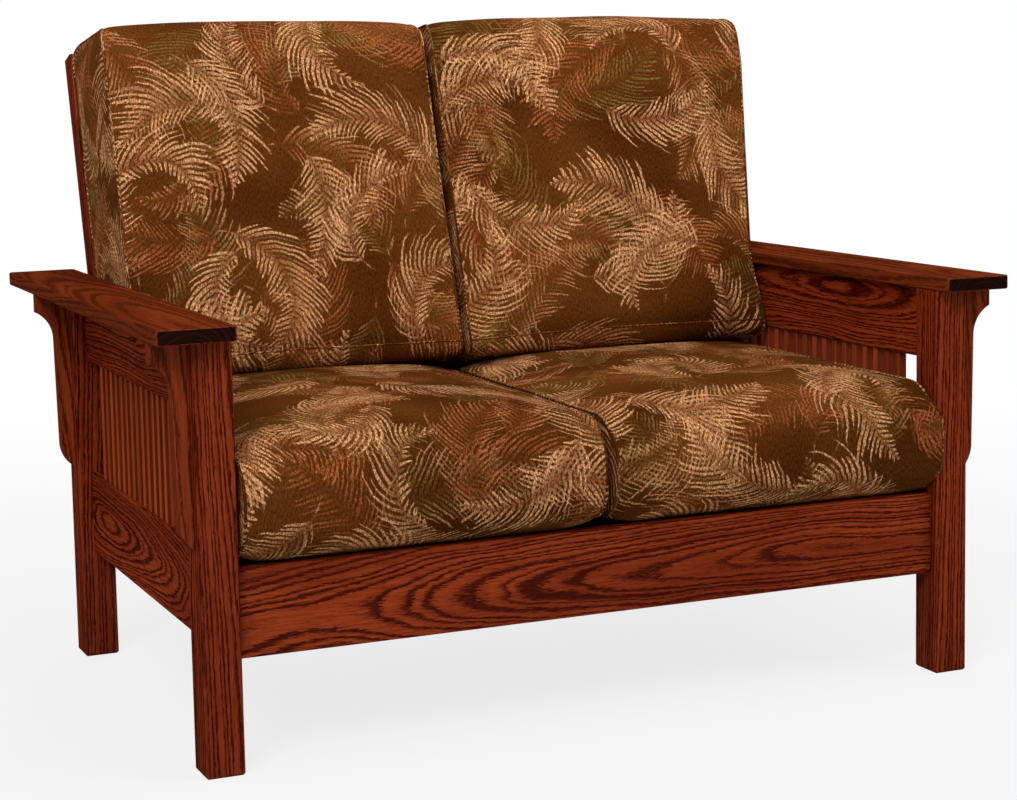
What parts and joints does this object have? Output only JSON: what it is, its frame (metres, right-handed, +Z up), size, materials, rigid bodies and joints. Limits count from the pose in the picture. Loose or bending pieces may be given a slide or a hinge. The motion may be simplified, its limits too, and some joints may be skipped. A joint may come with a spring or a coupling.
{
  "type": "mission settle",
  "caption": "Mission settle for two with spindled sides, corbelled flat arms, a raked slat back and loose box cushions on a webbed deck.",
  "frame": {"origin": "on the floor under the middle of the overall width and depth", "axes": "+Z up, -Y towards the sitter's front, +X to the right for someone facing the settle; node names call the -X side left"},
  "size_m": [1.376, 1.0082, 1.0647],
  "materials": {
    "stained_oak": "satin red-brown stained oak",
    "plain_wood": "unfinished hardwood inside the seat",
    "cushion_fabric": "woven fronds in tan, rust and olive on brown",
    "deck_cloth": "plain dark deck cloth",
    "webbing": "black elastic webbing",
    "steel": "zinc-plated"
  },
  "bodies": {
    "frame": {"back_bottom_rail": "stained_oak", "back_ledger": "plain_wood", "back_left_corbel": "stained_oak", "back_left_corner_block": "plain_wood", "back_left_leg": "stained_oak", "back_right_corbel": "stained_oak", "back_right_corner_block": "plain_wood", "back_right_leg": "stained_oak", "back_screws": "steel", "back_seat_rail": "stained_oak", "back_slat_1": "stained_oak", "back_slat_2": "stained_oak", "back_slat_3": "stained_oak", "back_slat_4": "stained_oak", "back_slat_5": "stained_oak", "back_slat_6": "stained_oak", "back_slat_7": "stained_oak", "back_slat_8": "stained_oak", "back_slat_9": "stained_oak", "back_top_rail": "stained_oak", "bracket_screws": "steel", "corbel_dowels": "plain_wood", "corner_block_screws": "steel", "deck_back_member": "plain_wood", "deck_cloth": "deck_cloth", "deck_front_member": "plain_wood", "deck_left_member": "plain_wood", "deck_middle_member": "plain_wood", "deck_right_member": "plain_wood", "front_ledger": "plain_wood", "front_left_corbel": "stained_oak", "front_left_corner_block": "plain_wood", "front_left_leg": "stained_oak", "front_rail": "stained_oak", "front_right_corbel": "stained_oak", "front_right_corner_block": "plain_wood", "front_right_leg": "stained_oak", "ledger_screws": "steel", "left_arm": "stained_oak", "left_arm_bracket": "steel", "left_back_stile": "stained_oak", "left_ledger": "plain_wood", "left_lower_rail": "stained_oak", "left_spindles": "stained_oak", "left_upper_rail": "stained_oak", "right_arm": "stained_oak", "right_arm_bracket": "steel", "right_back_stile": "stained_oak", "right_ledger": "plain_wood", "right_lower_rail": "stained_oak", "right_spindles": "stained_oak", "right_upper_rail": "stained_oak", "seat_webbing": "webbing"},
    "left_seat": {"left_seat_cushion": "cushion_fabric"},
    "right_seat": {"right_seat_cushion": "cushion_fabric"},
    "left_back": {"left_back_cushion": "cushion_fabric"},
    "right_back": {"right_back_cushion": "cushion_fabric"}
  },
  "joints": [
    {"name": "left_seat_lift_out", "type": "slide", "parent": "frame", "child": "left_seat", "axis": [0, -0.9848, 0.1736], "range_m": [0, 0.6]},
    {"name": "right_seat_lift_out", "type": "slide", "parent": "frame", "child": "right_seat", "axis": [0, -0.9848, 0.1736], "range_m": [0, 0.6]},
    {"name": "left_back_lift_off", "type": "slide", "parent": "frame", "child": "left_back", "axis": [0, 0.289, 0.9573], "range_m": [0, 0.6]},
    {"name": "right_back_lift_off", "type": "slide", "parent": "frame", "child": "right_back", "axis": [0, 0.289, 0.9573], "range_m": [0, 0.6]}
  ]
}
